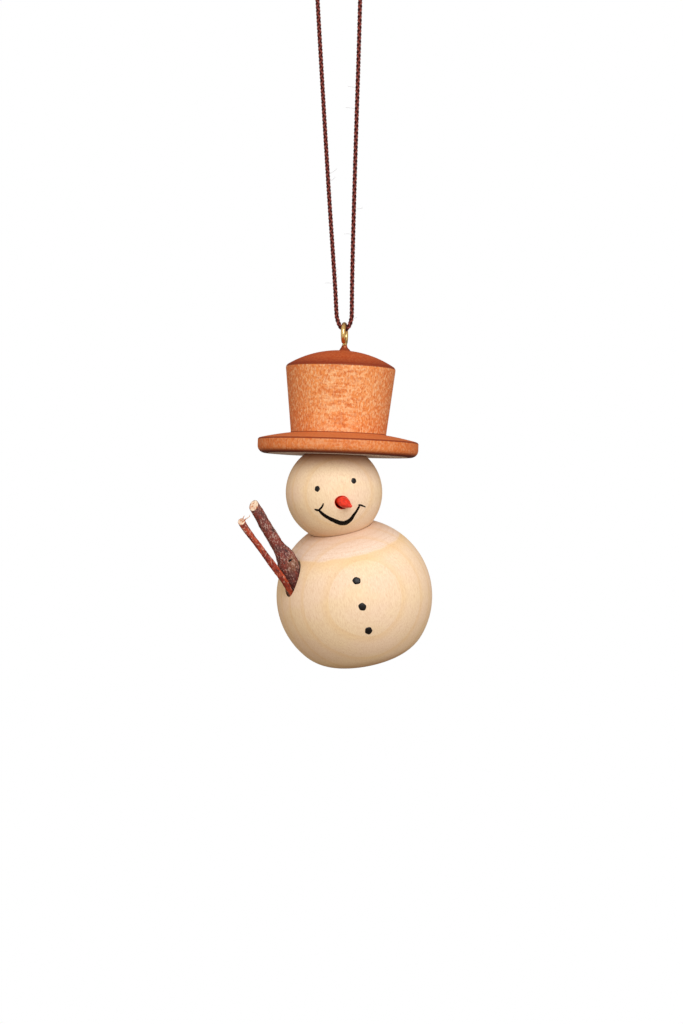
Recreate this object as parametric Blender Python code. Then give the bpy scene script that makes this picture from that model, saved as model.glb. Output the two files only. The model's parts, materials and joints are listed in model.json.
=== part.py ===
"""Hanging wooden snowman: a Christmas tree ornament on a cord loop.

Two turned balls of pale wood, a turned and stained top hat, a red nose peg and two twigs in one drilled hole
make the figure. A brass screw eye in the hat's crown hangs it on a loop of braided cord, and it swings there.
Metres, +Z up, +X to the viewer's right, the face towards -Y. The origin is the hanging point: the top of the
space inside the cord loop, where it lies over a branch.
"""

import math

import bmesh
import bpy
from mathutils import Matrix, Vector

MM = 0.001

# Driving dimensions
GLUE_GAP = 0.1 * MM
BODY_RADIUS = 15.0 * MM
BODY_FLAT_DROP = 12.4 * MM
BODY_FLAT_FILLET = 8.0 * MM
HEAD_RADIUS = 9.2 * MM
HAT_BRIM_RADIUS = 15.4 * MM
HAT_CROWN_BASE_RADIUS = 9.15 * MM
HAT_CROWN_TOP_RADIUS = 10.5 * MM
HAT_HEIGHT = 20.1 * MM
WIRE_RADIUS = 0.45 * MM
RING_RADIUS = 1.85 * MM
CORD_RADIUS = 0.42 * MM

# Where the pieces stand, as the figure hangs at rest
CORD_BIGHT = Vector((1.2, 0.0, -74.0)) * MM
HAT_BASE = CORD_BIGHT + Vector((-1.3, 0.0, -24.1)) * MM
HEAD_CENTRE = CORD_BIGHT + Vector((-2.0, -2.0, -31.2)) * MM
BODY_CENTRE = CORD_BIGHT + Vector((1.9, 2.7, -51.1)) * MM
HAT_LEAN = math.radians(2.0)
RING_TURN = math.radians(-8.0)

# Dowels and drilled holes
DOWEL_RADIUS = 2.0 * MM
NECK_DOWEL_LENGTH = 9.0 * MM
HAT_DOWEL_LENGTH = 8.0 * MM
DOWEL_CHAMFER = 0.4 * MM
TWIG_HOLE_RADIUS = 2.11 * MM
TWIG_HOLE_DEPTH = 8.5 * MM
TWIG_HOLE_MOUTH = Vector((-11.78, -8.26, 4.24)) * MM
TWIG_HOLE_AXIS = Vector((-0.267, -0.269, 0.925)).normalized()
NOSE_SEAT = Vector((1.58, -8.82, -1.985)) * MM
NOSE_AXIS = Vector((0.555, -0.766, -0.323)).normalized()
NOSE_SHIFT = Vector((0.091, 0.020, 0.110)) * MM
NOSE_HOLE_RADIUS = 1.25 * MM
NOSE_HOLE_DEPTH = 3.4 * MM
NOSE_RADIUS = 1.0 * MM
NOSE_LENGTH = 2.8 * MM
NOSE_STRAIGHT = 0.5 * MM
NOSE_TIP_RADIUS = 0.3 * MM
NOSE_SHANK = 2.8 * MM
NOSE_SHANK_TAPER = 0.1 * MM

# Screw eye: the gap in its ring, the bare shank under the ring, and the thread
RING_OPENING = 34.0
RING_START = -78.0
SHANK_BEND = 0.75 * MM
SHANK_BARE = 1.5 * MM
SHANK_OVERLAP = 1.1 * MM
THREAD_LENGTH = 6.5 * MM
THREAD_PITCH = 0.55 * MM
THREAD_CORE = 0.36 * MM
THREAD_CREST = 0.56 * MM
THREAD_TIP = 0.9 * MM
THREAD_TIP_CORE = 0.25
THREAD_SIDES = 10
THREAD_ROWS_PER_TURN = 4
PILOT_SPARE = 1.6 * MM

# Facets
BALL_SEGMENTS = 40
PEG_SEGMENTS = 20
TWIG_SIDES = 12

# Colours: red, green, blue, roughness, metallic
PALE_WOOD = (0.86, 0.70, 0.48, 0.45, 0.0)
STAINED_WOOD = (0.68, 0.27, 0.10, 0.40, 0.0)
RED_PAINT = (0.75, 0.05, 0.02, 0.35, 0.0)
BARK = (0.13, 0.045, 0.035, 0.80, 0.0)
RED_BARK = (0.26, 0.06, 0.03, 0.70, 0.0)
BRASS = (0.80, 0.60, 0.22, 0.25, 1.0)
BROWN_CORD = (0.13, 0.04, 0.03, 0.85, 0.0)

# Twigs: points on the axis from the sawn end to the end in the hole, measured from the body ball's centre,
# and the radius there, in millimetres
THICK_TWIG = [
    (-18.95, -10.1, 17.35, 1.02),
    (-17.8, -9.8, 15.4, 1.08),
    (-16.7, -9.5, 13.4, 1.13),
    (-15.5, -9.2, 11.5, 1.16),
    (-14.7, -9.0, 10.1, 1.20),
    (-14.0, -8.8, 9.1, 1.36),
    (-13.3, -8.75, 8.1, 1.70),
    (-12.8, -8.8, 7.1, 1.90),
    (-12.45, -8.75, 6.0, 1.97),
    (-11.95, -8.45, 4.6, 1.84),
    (-11.1, -7.6, 2.5, 1.44),
    (-10.35, -6.9, 0.4, 1.15),
    (-9.5, -6.05, -2.8, 1.00),
]
THIN_TWIG = [
    (-21.2, -11.9, 14.35, 0.70),
    (-20.6, -11.8, 13.3, 0.66),
    (-19.3, -11.6, 11.5, 0.60),
    (-17.85, -11.4, 9.6, 0.59),
    (-16.7, -11.2, 8.0, 0.61),
    (-15.55, -11.0, 6.45, 0.65),
    (-14.5, -10.75, 5.0, 0.64),
    (-13.4, -10.25, 3.45, 0.61),
    (-12.6, -9.38, 2.0, 0.55),
    (-11.82, -8.32, 0.4, 0.46),
    (-11.1, -7.4, -2.4, 0.40),
]

# Cord route: the loop's own points in millimetres, from the knot down the left strand, through the screw eye
# and up the right strand to the knot again
CORD_ROUTE = [
    (-1.30, 0.48),
    (-2.53, -0.38),
    (-3.62, -1.60),
    (-4.22, -3.40),
    (-4.30, -5.50),
    (-4.02, -10.0),
    (-3.45, -20.0),
    (-2.87, -30.0),
    (-2.27, -40.0),
    (-1.65, -50.0),
    (-0.98, -60.0),
    (-0.56, -66.5),
    (-0.36, -70.4),
    (-0.20, -71.9),
    (0.35, -73.35),
    (1.20, -74.00),
    (2.05, -73.35),
    (2.52, -71.9),
    (2.60, -70.4),
    (2.64, -66.5),
    (2.76, -60.0),
    (3.02, -50.0),
    (3.31, -40.0),
    (3.63, -30.0),
    (3.95, -20.0),
    (4.22, -10.0),
    (4.32, -5.50),
    (4.22, -3.40),
    (3.62, -1.60),
    (2.53, -0.38),
    (1.30, 0.48),
]
ROUTE_STEPS = 2
KNOT_CENTRE = Vector((0.0, 0.0, 1.38)) * MM
KNOT_HALF_SIZE = Vector((1.5, 1.4, 1.3)) * MM
CORD_TAILS = [
    [(-0.35, 1.6), (-0.75, 3.0), (-1.3, 4.4), (-2.2, 6.0), (-3.3, 7.6)],
    [(0.35, 1.6), (0.65, 3.1), (1.05, 4.7), (1.5, 6.4), (2.3, 8.2)],
]


def clear_scene():
    for obj in list(bpy.data.objects):
        bpy.data.objects.remove(obj, do_unlink=True)


def material(name, finish):
    red, green, blue, roughness, metallic = finish
    made = bpy.data.materials.new(name)
    made.use_nodes = True
    shader = made.node_tree.nodes["Principled BSDF"]
    shader.inputs["Base Color"].default_value = (red, green, blue, 1.0)
    shader.inputs["Roughness"].default_value = roughness
    shader.inputs["Metallic"].default_value = metallic
    made.diffuse_color = (red, green, blue, 1.0)
    return made


def add_object(name, data, finish=None):
    obj = bpy.data.objects.new(name, data)
    bpy.context.scene.collection.objects.link(obj)
    if finish is not None:
        data.materials.append(finish)
    return obj


def along(direction):
    """A rotation that turns +Z to the direction."""
    return Vector(direction).to_track_quat("Z", "Y").to_matrix().to_4x4()


def leaning(angle):
    """A rotation about Y that leans +Z towards +X by the angle."""
    return Matrix.Rotation(angle, 4, "Y")


def arc(centre_r, centre_z, radius, start, end, count):
    """Points of a profile's round stretch as (radius, height), from one angle to the other in degrees."""
    angles = [math.radians(start + (end - start) * i / count) for i in range(count + 1)]
    return [(centre_r + radius * math.cos(a), centre_z + radius * math.sin(a)) for a in angles]


def turned(name, profile, segments, finish=None):
    """A solid of revolution about Z. The profile runs from its top point to its bottom point."""
    mesh = bpy.data.meshes.new(name)
    bm = bmesh.new()
    rings = []
    for radius, height in profile:
        if radius < 1e-7:
            rings.append([bm.verts.new((0.0, 0.0, height))])
            continue
        turns = [2 * math.pi * k / segments for k in range(segments)]
        rings.append([bm.verts.new((radius * math.cos(t), radius * math.sin(t), height)) for t in turns])
    bridge(bm, rings, segments)
    if len(rings[0]) > 1:
        bm.faces.new(rings[0])
    if len(rings[-1]) > 1:
        bm.faces.new(reversed(rings[-1]))
    return finished(name, mesh, bm, finish)


def bridge(bm, rings, segments):
    """Faces between neighbouring rings of vertices, where a ring of one vertex is a pole."""
    for upper, lower in zip(rings, rings[1:]):
        for k in range(segments):
            n = (k + 1) % segments
            if len(upper) == 1:
                bm.faces.new((upper[0], lower[k], lower[n]))
            elif len(lower) == 1:
                bm.faces.new((upper[k], lower[0], upper[n]))
            else:
                bm.faces.new((upper[k], lower[k], lower[n], upper[n]))


def finished(name, mesh, bm, finish):
    bmesh.ops.recalc_face_normals(bm, faces=bm.faces)
    bm.to_mesh(mesh)
    bm.free()
    mesh.shade_smooth()
    mesh.set_sharp_from_angle(angle=math.radians(40))
    return add_object(name, mesh, finish)


def drill(target, cutter):
    """Cuts the cutter from the target and hides it."""
    cutter.hide_render = True
    cutter.display_type = "WIRE"
    cut = target.modifiers.new("cut_" + cutter.name, "BOOLEAN")
    cut.operation = "DIFFERENCE"
    cut.solver = "EXACT"
    cut.object = cutter


def cylinder_cutter(name, radius, low, high, matrix):
    cutter = turned(name, [(radius, high), (radius, low)], PEG_SEGMENTS)
    cutter.matrix_world = matrix
    return cutter


def ball_cutter(name, radius, centre):
    cutter = turned(name, arc(0, 0, radius, 90, -90, BALL_SEGMENTS // 2), BALL_SEGMENTS)
    cutter.location = centre
    return cutter


def neck_frame():
    """The neck dowel's frame: +Z from the body ball to the head ball, the origin where the balls meet."""
    span = HEAD_CENTRE - BODY_CENTRE
    distance = span.length
    seam = (distance**2 + BODY_RADIUS**2 - HEAD_RADIUS**2) / (2 * distance)
    return Matrix.Translation(BODY_CENTRE + span.normalized() * seam) @ along(span)


def hat_dowel_frame():
    """The hat dowel's frame: +Z up the hat's axis, the origin on the head's surface under the hat."""
    rotation = leaning(HAT_LEAN)
    return Matrix.Translation(HEAD_CENTRE + rotation @ Vector((0, 0, HEAD_RADIUS))) @ rotation


def make_body(finish):
    """The lower ball, with a flat base and a rounded edge round the flat."""
    fillet_height = -(BODY_FLAT_DROP - BODY_FLAT_FILLET)
    inner = BODY_RADIUS - BODY_FLAT_FILLET
    fillet_radius = math.sqrt(inner**2 - fillet_height**2)
    tangent = math.degrees(math.atan2(fillet_height, fillet_radius))
    profile = arc(0, 0, BODY_RADIUS, 90, tangent, 20)
    profile += arc(fillet_radius, fillet_height, BODY_FLAT_FILLET, tangent, -90, 6)[1:]
    body = turned("body", profile, BALL_SEGMENTS, finish)
    body.matrix_world = Matrix.Translation(BODY_CENTRE) @ along(HEAD_CENTRE - BODY_CENTRE)
    drill(body, ball_cutter("cutter_head_seat", HEAD_RADIUS + GLUE_GAP, HEAD_CENTRE))
    half = NECK_DOWEL_LENGTH / 2 + GLUE_GAP
    drill(body, cylinder_cutter("cutter_neck_low", DOWEL_RADIUS + GLUE_GAP, -half, half, neck_frame()))
    hole = Matrix.Translation(BODY_CENTRE + TWIG_HOLE_MOUTH) @ along(TWIG_HOLE_AXIS)
    drill(body, cylinder_cutter("cutter_twigs", TWIG_HOLE_RADIUS, -TWIG_HOLE_DEPTH, TWIG_HOLE_DEPTH, hole))
    return body


def make_head(finish):
    """The upper ball, drilled for both dowels and for the nose."""
    head = turned("head", arc(0, 0, HEAD_RADIUS, 90, -90, BALL_SEGMENTS // 2), BALL_SEGMENTS, finish)
    head.location = HEAD_CENTRE
    half = NECK_DOWEL_LENGTH / 2 + GLUE_GAP
    drill(head, cylinder_cutter("cutter_neck_high", DOWEL_RADIUS + GLUE_GAP, -half, half, neck_frame()))
    half = HAT_DOWEL_LENGTH / 2 + GLUE_GAP
    drill(head, cylinder_cutter("cutter_hat_low", DOWEL_RADIUS + GLUE_GAP, -half, half, hat_dowel_frame()))
    hole = Matrix.Translation(HEAD_CENTRE + NOSE_SEAT) @ along(NOSE_AXIS)
    drill(head, cylinder_cutter("cutter_nose", NOSE_HOLE_RADIUS, -NOSE_HOLE_DEPTH, NOSE_HOLE_DEPTH, hole))
    return head


def hat_profile():
    """The hat from the middle of its domed top to the middle of its underside, as (radius, height)."""
    dome_radius = 19.0 * MM
    edge_round = 0.8 * MM
    rim_low_round = 1.4 * MM
    rim_top_round = 0.45 * MM
    rim_top = 2.95 * MM
    dome_centre = HAT_HEIGHT - dome_radius
    edge_centre = HAT_CROWN_TOP_RADIUS - edge_round
    crown_top = dome_centre + math.sqrt((dome_radius - edge_round) ** 2 - edge_centre**2)
    edge_angle = math.degrees(math.atan2(crown_top - dome_centre, edge_centre))
    dome = arc(0, dome_centre, dome_radius, 90, edge_angle, 6)
    edge = arc(edge_centre, crown_top, edge_round, edge_angle, -6, 4)[1:]
    brim_slope = [(HAT_CROWN_BASE_RADIUS / MM, 4.15), (9.4, 4.03), (12.0, 3.72), (14.0, 3.32)]
    brim_top = [(radius * MM, height * MM) for radius, height in brim_slope]
    rim = arc(HAT_BRIM_RADIUS - rim_top_round, rim_top - rim_top_round, rim_top_round, 75, 0, 3)
    rim += arc(HAT_BRIM_RADIUS - rim_low_round, rim_low_round, rim_low_round, 0, -90, 5)
    return dome + edge + brim_top + rim + [(0.0, 0.0)]


def make_hat(finish):
    """Crown and brim turned from one blank, with a seat for the head and a pilot hole for the screw eye."""
    hat = turned("hat", hat_profile(), BALL_SEGMENTS, finish)
    hat.matrix_world = Matrix.Translation(HAT_BASE) @ leaning(HAT_LEAN)
    drill(hat, ball_cutter("cutter_hat_seat", HEAD_RADIUS + GLUE_GAP, HEAD_CENTRE))
    half = HAT_DOWEL_LENGTH / 2 + GLUE_GAP
    drill(hat, cylinder_cutter("cutter_hat_high", DOWEL_RADIUS + GLUE_GAP, -half, half, hat_dowel_frame()))
    foot = Matrix.Translation(ring_centre() - Vector((0, 0, RING_RADIUS)))
    depth = THREAD_LENGTH + PILOT_SPARE
    drill(hat, cylinder_cutter("cutter_pilot", THREAD_CREST + GLUE_GAP, -depth, RING_RADIUS, foot))
    return hat


def make_dowel(name, length, frame, finish):
    low, high = -length / 2, length / 2
    profile = [
        (DOWEL_RADIUS - DOWEL_CHAMFER, high),
        (DOWEL_RADIUS, high - DOWEL_CHAMFER),
        (DOWEL_RADIUS, low + DOWEL_CHAMFER),
        (DOWEL_RADIUS - DOWEL_CHAMFER, low),
    ]
    dowel = turned(name, profile, PEG_SEGMENTS, finish)
    dowel.matrix_world = frame
    return dowel


def make_nose(finish):
    """A carrot-shaped peg that sits high in its hole: a shank, then a straight taper to a small round tip."""
    tip = arc(0, NOSE_LENGTH - NOSE_TIP_RADIUS, NOSE_TIP_RADIUS, 90, 15, 4)
    shank = [(NOSE_RADIUS, NOSE_STRAIGHT), (NOSE_RADIUS, 0.0), (NOSE_RADIUS - NOSE_SHANK_TAPER, -NOSE_SHANK)]
    nose = turned("nose", tip + shank, PEG_SEGMENTS, finish)
    nose.matrix_world = Matrix.Translation(HEAD_CENTRE + NOSE_SEAT + NOSE_SHIFT) @ along(NOSE_AXIS)
    return nose


def smooth_route(points, steps):
    """Points along the Catmull-Rom curve through the given points, that many steps to each stretch."""
    ends = [2 * points[0] - points[1]] + points + [2 * points[-1] - points[-2]]
    found = []
    for a, b, c, d in zip(ends, ends[1:], ends[2:], ends[3:]):
        for i in range(steps):
            t = i / steps
            found.append(
                0.5 * (2 * b + (c - a) * t + (2 * a - 5 * b + 4 * c - d) * t**2 + (3 * b - a - 3 * c + d) * t**3)
            )
    return found + [points[-1]]


def make_twig(name, stations, finish):
    """A round stick along its stations, closed by a flat saw cut at each end."""
    path = smooth_route([Vector(s) for s in stations], 2)
    mesh = bpy.data.meshes.new(name)
    bm = bmesh.new()
    rings = []
    for i, station in enumerate(path):
        before, after = path[max(i - 1, 0)], path[min(i + 1, len(path) - 1)]
        turn = along((before - after).to_3d())
        centre = BODY_CENTRE + station.to_3d() * MM
        ring = []
        for k in range(TWIG_SIDES):
            angle = 2 * math.pi * k / TWIG_SIDES
            offset = Vector((math.cos(angle), math.sin(angle), 0)) * station.w * MM
            ring.append(bm.verts.new(centre + turn @ offset))
        rings.append(ring)
    bridge(bm, rings, TWIG_SIDES)
    bm.faces.new(rings[0])
    bm.faces.new(reversed(rings[-1]))
    return finished(name, mesh, bm, finish)


def tube(name, points, radius, resolution, finish=None):
    """A round tube along the points, with filled ends."""
    curve = bpy.data.curves.new(name, "CURVE")
    curve.dimensions = "3D"
    curve.bevel_depth = radius
    curve.bevel_resolution = resolution
    curve.use_fill_caps = True
    spline = curve.splines.new("POLY")
    spline.points.add(len(points) - 1)
    for place, point in zip(spline.points, points):
        place.co = (*point, 1.0)
    return add_object(name, curve, finish)


def tube_mesh(name, points, radius, resolution, finish=None):
    """The same tube as a mesh, so that a Boolean can join it."""
    guide = tube(name + "_guide", points, radius, resolution)
    bpy.context.view_layer.update()
    evaluated = guide.evaluated_get(bpy.context.evaluated_depsgraph_get())
    mesh = bpy.data.meshes.new_from_object(evaluated)
    bpy.data.objects.remove(guide, do_unlink=True)
    bm = bmesh.new()
    bm.from_mesh(mesh)
    bmesh.ops.remove_doubles(bm, verts=bm.verts, dist=1e-6)
    return finished(name, mesh, bm, finish)


def join(target, piece):
    """Unites the piece with the target and hides it."""
    piece.hide_render = True
    piece.display_type = "WIRE"
    union = target.modifiers.new("join_" + piece.name, "BOOLEAN")
    union.operation = "UNION"
    union.solver = "EXACT"
    union.object = piece


def ring_centre():
    """The middle of the screw eye's ring, whose top hangs on the cord."""
    return CORD_BIGHT + Vector((0, 0, CORD_RADIUS + GLUE_GAP + WIRE_RADIUS - RING_RADIUS))


def eye_wire():
    """The wire of the screw eye in its own YZ plane: up the shank, then round the ring to its open end."""
    points = [
        Vector((0, 0, -RING_RADIUS - SHANK_BARE - SHANK_OVERLAP)),
        Vector((0, 0, -RING_RADIUS - SHANK_BEND)),
    ]
    turn = arc(0, 0, RING_RADIUS, RING_START, 270 - RING_OPENING, 30)
    return points + [Vector((0, y, z)) for y, z in turn]


def thread_profile(z, turn):
    """The thread's radius at a depth below the shank's top and at an angle: a ridge that climbs in a helix."""
    phase = (z / THREAD_PITCH - turn / (2 * math.pi)) % 1.0
    ridge = max(0.0, 1.0 - 4.0 * abs(phase - 0.5))
    from_tip = min(1.0, (THREAD_LENGTH - z) / THREAD_TIP)
    core = THREAD_CORE * (THREAD_TIP_CORE + (1.0 - THREAD_TIP_CORE) * from_tip)
    height = (THREAD_CREST - THREAD_CORE) * min(from_tip, z / THREAD_PITCH)
    return core + height * ridge


def make_thread(top):
    """The threaded shank, pointed at its lower end, with its top at the given place."""
    rows = int(THREAD_LENGTH / THREAD_PITCH * THREAD_ROWS_PER_TURN)
    mesh = bpy.data.meshes.new("thread")
    bm = bmesh.new()
    rings = []
    for row in range(rows + 1):
        z = THREAD_LENGTH * row / rows
        ring = []
        for k in range(THREAD_SIDES):
            turn = 2 * math.pi * k / THREAD_SIDES
            outward = Vector((math.cos(turn), math.sin(turn), 0)) * thread_profile(z, turn)
            ring.append(bm.verts.new(top + outward - Vector((0, 0, z))))
        rings.append(ring)
    bridge(bm, rings, THREAD_SIDES)
    bm.faces.new(rings[0])
    bm.faces.new(reversed(rings[-1]))
    return finished("thread", mesh, bm, None)


def make_screw_eye(finish):
    """One piece of brass wire: an open ring on a threaded shank."""
    turn = Matrix.Rotation(RING_TURN, 3, "Z")
    centre = ring_centre()
    screw_eye = tube_mesh("screw_eye", [centre + turn @ p for p in eye_wire()], WIRE_RADIUS, 2, finish)
    join(screw_eye, make_thread(centre - Vector((0, 0, RING_RADIUS + SHANK_BARE))))
    return screw_eye


def make_cord(finish):
    """The cord from one side of the knot, down, through the screw eye, and up to the knot's other side."""
    route = [Vector((x, 0, z)) * MM for x, z in CORD_ROUTE]
    return tube("hanging_cord", smooth_route(route, ROUTE_STEPS), CORD_RADIUS, 2, finish)


def make_knot(finish):
    """The knot that closes the loop, with the cord's two short ends standing out of its top."""
    knot = turned("cord_knot", arc(0, 0, 1.0, 90, -90, 10), PEG_SEGMENTS, finish)
    for vertex in knot.data.vertices:
        vertex.co = Vector([a * b for a, b in zip(vertex.co, KNOT_HALF_SIZE)])
    knot.location = KNOT_CENTRE
    for i, points in enumerate(CORD_TAILS):
        route = [Vector((x, 0, z)) * MM for x, z in points]
        join(knot, tube_mesh(f"cord_end_{i}", smooth_route(route, ROUTE_STEPS), CORD_RADIUS, 2))
    return knot


def main():
    clear_scene()
    pale = material("pale_wood", PALE_WOOD)
    make_body(pale)
    make_head(pale)
    make_hat(material("stained_wood", STAINED_WOOD))
    make_dowel("neck_dowel", NECK_DOWEL_LENGTH, neck_frame(), pale)
    make_dowel("hat_dowel", HAT_DOWEL_LENGTH, hat_dowel_frame(), pale)
    make_nose(material("red_paint", RED_PAINT))
    make_twig("thick_twig", THICK_TWIG, material("bark", BARK))
    make_twig("thin_twig", THIN_TWIG, material("red_bark", RED_BARK))
    make_screw_eye(material("brass", BRASS))
    braid = material("brown_cord", BROWN_CORD)
    make_cord(braid)
    make_knot(braid)


main()
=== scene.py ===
"""The look of the hanging wooden snowman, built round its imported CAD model.

Each piece is modelled in its own frame, mostly in millimetres, and then placed in metres from the hinge at
the bight of the cord, so that the grain of every wooden piece follows that piece's own axis.
"""

import json
import math

import bmesh
import bpy
from mathutils import Matrix, Vector, noise


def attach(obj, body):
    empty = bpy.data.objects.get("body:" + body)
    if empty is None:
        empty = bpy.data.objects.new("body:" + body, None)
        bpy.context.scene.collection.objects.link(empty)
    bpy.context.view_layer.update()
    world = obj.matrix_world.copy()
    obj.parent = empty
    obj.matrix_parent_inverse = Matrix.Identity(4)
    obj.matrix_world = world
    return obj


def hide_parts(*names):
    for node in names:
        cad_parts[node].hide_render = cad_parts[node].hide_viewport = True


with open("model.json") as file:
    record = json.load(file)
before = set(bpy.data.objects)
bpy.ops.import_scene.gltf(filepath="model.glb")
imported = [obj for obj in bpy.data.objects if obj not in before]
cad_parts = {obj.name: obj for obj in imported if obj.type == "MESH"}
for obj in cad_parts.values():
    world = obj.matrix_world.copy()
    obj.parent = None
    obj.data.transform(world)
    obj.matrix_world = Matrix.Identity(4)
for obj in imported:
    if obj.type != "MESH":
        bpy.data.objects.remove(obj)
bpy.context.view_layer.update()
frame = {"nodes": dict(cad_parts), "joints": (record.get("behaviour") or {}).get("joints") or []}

MM = 0.001
FIGURE = "figure"
CORD = "cord_loop"

# Places of the pieces at rest, as in the CAD model
BIGHT = Vector(frame["joints"][0]["pos_m"])
HAT_BASE = BIGHT + Vector((-1.3, 0.0, -24.1)) * MM
HEAD_CENTRE = BIGHT + Vector((-2.0, -2.0, -31.2)) * MM
BODY_CENTRE = BIGHT + Vector((1.9, 2.7, -51.1)) * MM
HAT_LEAN = math.radians(2.0)
RING_TURN = math.radians(-8.0)

# The grain of both pale balls leans sideways with the body, whose own axis also leans forwards from there
GRAIN_LEAN = math.radians(-11.1)
BODY_AXIS = (0.0, -0.226, 0.974)

# Sizes in millimetres
BODY_RADIUS = 15.0
BODY_FLAT_DROP = 12.4
BODY_FLAT_FILLET = 8.0
HEAD_RADIUS = 9.2
UNDERSIDE_RADIUS = 13.4
JOINT_GAP = 0.1
TWIG_HOLE_RADIUS = 2.11
TWIG_HOLE_DEPTH = 9.0
TWIG_HOLE_MOUTH = Vector((-11.78, -8.26, 4.24))
TWIG_HOLE_AXIS = Vector((-0.267, -0.269, 0.925)).normalized()
NOSE_SEAT = Vector((1.58, -8.82, -1.985))
NOSE_AXIS = Vector((0.555, -0.766, -0.323)).normalized()
NOSE_HOLE_RADIUS = 1.25
NOSE_HOLE_DEPTH = 3.4
NOSE_SHIFT = Vector((0.12, 0.025, 0.14))
NOSE_LENGTH = 2.8
NOSE_RADIUS = 1.0
NOSE_TIP_RADIUS = 0.33
NOSE_SHANK = 2.8
COLLAR_DROP = 4.05
WIRE_RADIUS = 0.45
RING_RADIUS = 1.85
CORD_RADIUS = 0.42
BRAID_PERIOD = 2.7
ROUTE_STEPS = 12

# The cord's route across (x) and up (z) in metres: from the knot down the left strand, through the screw eye
# and up the right strand
CORD_ROUTE = [
    (-0.00130, 0.00048),
    (-0.00253, -0.00038),
    (-0.00362, -0.00160),
    (-0.00422, -0.00340),
    (-0.00430, -0.00550),
    (-0.00402, -0.0100),
    (-0.00345, -0.0200),
    (-0.00287, -0.0300),
    (-0.00227, -0.0400),
    (-0.00165, -0.0500),
    (-0.00098, -0.0600),
    (-0.00056, -0.0665),
    (-0.00036, -0.0704),
    (-0.00020, -0.0719),
    (0.00035, -0.07335),
    (0.00120, -0.07400),
    (0.00205, -0.07335),
    (0.00252, -0.0719),
    (0.00260, -0.0704),
    (0.00264, -0.0665),
    (0.00276, -0.0600),
    (0.00302, -0.0500),
    (0.00331, -0.0400),
    (0.00363, -0.0300),
    (0.00395, -0.0200),
    (0.00422, -0.0100),
    (0.00432, -0.00550),
    (0.00422, -0.00340),
    (0.00362, -0.00160),
    (0.00253, -0.00038),
    (0.00130, 0.00048),
]

# The knot: the left strand winds round the right one and both end in a short tail, in millimetres
KNOT_WRAP = [
    (-1.30, 0.00, 0.48),
    (-0.98, -0.45, 0.62),
    (-0.20, -0.98, 0.62),
    (0.85, -0.55, 0.68),
    (0.95, 0.45, 0.86),
    (0.05, 0.98, 1.08),
    (-0.90, 0.50, 1.30),
    (-0.92, -0.48, 1.50),
    (-0.05, -0.98, 1.66),
    (0.90, -0.50, 1.86),
    (0.80, 0.35, 2.15),
    (0.62, 0.20, 2.9),
    (1.00, 0.05, 4.5),
    (1.50, 0.00, 6.4),
    (2.25, 0.00, 8.0),
]
KNOT_CORE = [
    (1.30, 0.00, 0.48),
    (0.55, 0.02, 0.85),
    (0.05, 0.00, 1.35),
    (-0.25, 0.00, 2.2),
    (-0.70, 0.00, 3.2),
    (-1.30, 0.00, 4.5),
    (-2.20, 0.00, 6.0),
    (-3.20, 0.00, 7.5),
]

# Twigs: points on the axis from the body ball's centre, and the radius there, in millimetres
THICK_TWIG = [
    (-18.95, -10.1, 17.35, 1.02),
    (-17.8, -9.8, 15.4, 1.08),
    (-16.7, -9.5, 13.4, 1.13),
    (-15.5, -9.2, 11.5, 1.16),
    (-14.7, -9.0, 10.1, 1.20),
    (-14.0, -8.8, 9.1, 1.36),
    (-13.3, -8.75, 8.1, 1.70),
    (-12.8, -8.8, 7.1, 1.90),
    (-12.45, -8.75, 6.0, 1.97),
    (-11.95, -8.45, 4.6, 1.84),
    (-11.1, -7.6, 2.5, 1.44),
    (-10.35, -6.9, 0.4, 1.15),
    (-9.5, -6.05, -2.8, 1.00),
]
THIN_TWIG = [
    (-21.2, -11.9, 14.35, 0.70),
    (-20.6, -11.8, 13.3, 0.66),
    (-19.3, -11.6, 11.5, 0.60),
    (-17.85, -11.4, 9.6, 0.59),
    (-16.7, -11.2, 8.0, 0.61),
    (-15.55, -11.0, 6.45, 0.65),
    (-14.5, -10.75, 5.0, 0.64),
    (-13.4, -10.25, 3.45, 0.61),
    (-12.6, -9.38, 2.0, 0.55),
    (-11.82, -8.32, 0.4, 0.46),
    (-11.1, -7.4, -2.4, 0.40),
]
HEALED_KNOT = (-12.1, -10.1, 7.05)

# Painted marks: places across (x) and up (z) from a ball's centre, and half widths of the strokes, all in
# millimetres
EYES = [(-3.10, 0.58), (3.72, 2.08)]
EYE_RADIUS = 0.53
EYE_HEIGHT = 0.10
BUTTONS = [(0.33, 3.38), (1.40, -1.46), (2.58, -5.98)]
BUTTON_RADIUS = 0.73
BUTTON_HEIGHT = 0.16
STROKE_HEIGHT = 0.07
SMILE = [
    (-2.82, -3.39, 0.26),
    (-2.03, -4.16, 0.34),
    (-1.11, -4.78, 0.38),
    (0.15, -5.40, 0.44),
    (1.24, -5.80, 0.52),
    (2.18, -5.78, 0.54),
    (3.10, -5.18, 0.44),
    (3.72, -4.31, 0.32),
    (4.36, -3.39, 0.26),
    (4.83, -2.53, 0.25),
]
LEFT_TICK = [(-3.62, -3.22, 0.16), (-3.20, -3.38, 0.22), (-2.72, -3.42, 0.24)]
LEFT_DIMPLE = [(-2.82, -3.42, 0.22), (-2.33, -2.93, 0.18), (-2.06, -2.50, 0.15), (-1.97, -2.10, 0.10)]
RIGHT_TICK = [(4.56, -2.43, 0.18), (5.00, -2.47, 0.18), (5.47, -2.62, 0.15), (5.95, -2.82, 0.11)]


# Meshes

CUT_SHARP_ANGLE = 30


def leaning(angle):
    """A rotation about Y that leans +Z towards +X by the angle."""
    return Matrix.Rotation(angle, 4, "Y")


def along(direction):
    """A rotation that turns +Z to the direction."""
    return Vector(direction).to_track_quat("Z", "Y").to_matrix().to_4x4()


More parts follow.
